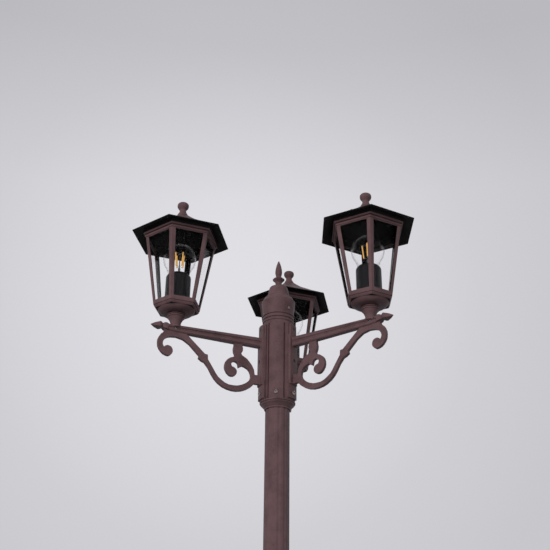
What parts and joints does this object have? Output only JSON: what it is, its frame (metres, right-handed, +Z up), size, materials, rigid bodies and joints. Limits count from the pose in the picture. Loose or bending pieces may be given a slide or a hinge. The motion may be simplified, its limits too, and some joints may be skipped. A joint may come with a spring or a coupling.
{
  "type": "lamp post",
  "caption": "Fluted garden lamp post with scrolled cast arms round a capped hub, each arm carrying a six-sided tapered lantern with a lift-off roof and a screw-in bulb.",
  "frame": {"origin": "on the axis of the post at the underside of the foot", "axes": "+Z up along the post, +Y towards the rear arm, +X to the right of it seen from the front"},
  "size_m": [0.5081, 0.4809, 2.1966],
  "materials": {
    "coated_casting": "fine textured rust-brown powder coat, satin",
    "coated_extrusion": "fine textured rust-brown powder coat on a fluted tube, satin",
    "silver_screw": "plated pan-head screw, bright",
    "dark_screw": "blackened screw, satin",
    "zinc_plate": "zinc plated, dull",
    "terminal_plastic": "matte moulded",
    "holder_black": "black glazed, half gloss",
    "bulb_cap_metal": "bright screw cap",
    "clear_glass": "clear, polished",
    "filament_yellow": "yellow coated filament sticks"
  },
  "bodies": {
    "post": {"foot": "coated_casting", "foot_screws": "silver_screw", "post": "coated_extrusion", "hub_column": "coated_casting", "hub_collar": "coated_casting", "hub_screws": "silver_screw", "hub_cap": "coated_casting", "cap_screw": "silver_screw", "hub_spear": "coated_casting", "terminal_tray": "zinc_plate", "terminal_block": "terminal_plastic", "arm_screws": "dark_screw", "arm_1": "coated_casting", "neck_nipple_1": "zinc_plate", "pan_1": "coated_casting", "holder_bracket_1": "zinc_plate", "lamp_holder_1": "holder_black", "cage_1": "coated_casting", "panes_1": "clear_glass", "arm_2": "coated_casting", "neck_nipple_2": "zinc_plate", "pan_2": "coated_casting", "holder_bracket_2": "zinc_plate", "lamp_holder_2": "holder_black", "cage_2": "coated_casting", "panes_2": "clear_glass", "arm_3": "coated_casting", "neck_nipple_3": "zinc_plate", "pan_3": "coated_casting", "holder_bracket_3": "zinc_plate", "lamp_holder_3": "holder_black", "cage_3": "coated_casting", "panes_3": "clear_glass"},
    "roof_1": {"roof_1": "coated_casting", "roof_finial_1": "coated_casting"},
    "bulb_1": {"bulb_cap_1": "bulb_cap_metal", "bulb_glass_1": "clear_glass", "bulb_filament_1": "filament_yellow"},
    "roof_2": {"roof_2": "coated_casting", "roof_finial_2": "coated_casting"},
    "bulb_2": {"bulb_cap_2": "bulb_cap_metal", "bulb_glass_2": "clear_glass", "bulb_filament_2": "filament_yellow"},
    "roof_3": {"roof_3": "coated_casting", "roof_finial_3": "coated_casting"},
    "bulb_3": {"bulb_cap_3": "bulb_cap_metal", "bulb_glass_3": "clear_glass", "bulb_filament_3": "filament_yellow"}
  },
  "joints": [
    {"name": "roof_lift_1", "type": "slide", "parent": "post", "child": "roof_1", "axis": [0, 0, 1], "range_m": [0, 0.1]},
    {"name": "bulb_turn_1", "type": "hinge", "parent": "post", "child": "bulb_1", "pos_m": [0, 0.1978, 2.026], "axis": [0, 0, 1], "range_deg": [0, 1080]},
    {"name": "roof_lift_2", "type": "slide", "parent": "post", "child": "roof_2", "axis": [0, 0, 1], "range_m": [0, 0.1]},
    {"name": "bulb_turn_2", "type": "hinge", "parent": "post", "child": "bulb_2", "pos_m": [-0.1713, -0.0989, 2.026], "axis": [0, 0, 1], "range_deg": [0, 1080]},
    {"name": "roof_lift_3", "type": "slide", "parent": "post", "child": "roof_3", "axis": [0, 0, 1], "range_m": [0, 0.1]},
    {"name": "bulb_turn_3", "type": "hinge", "parent": "post", "child": "bulb_3", "pos_m": [0.1713, -0.0989, 2.026], "axis": [0, 0, 1], "range_deg": [0, 1080]}
  ]
}
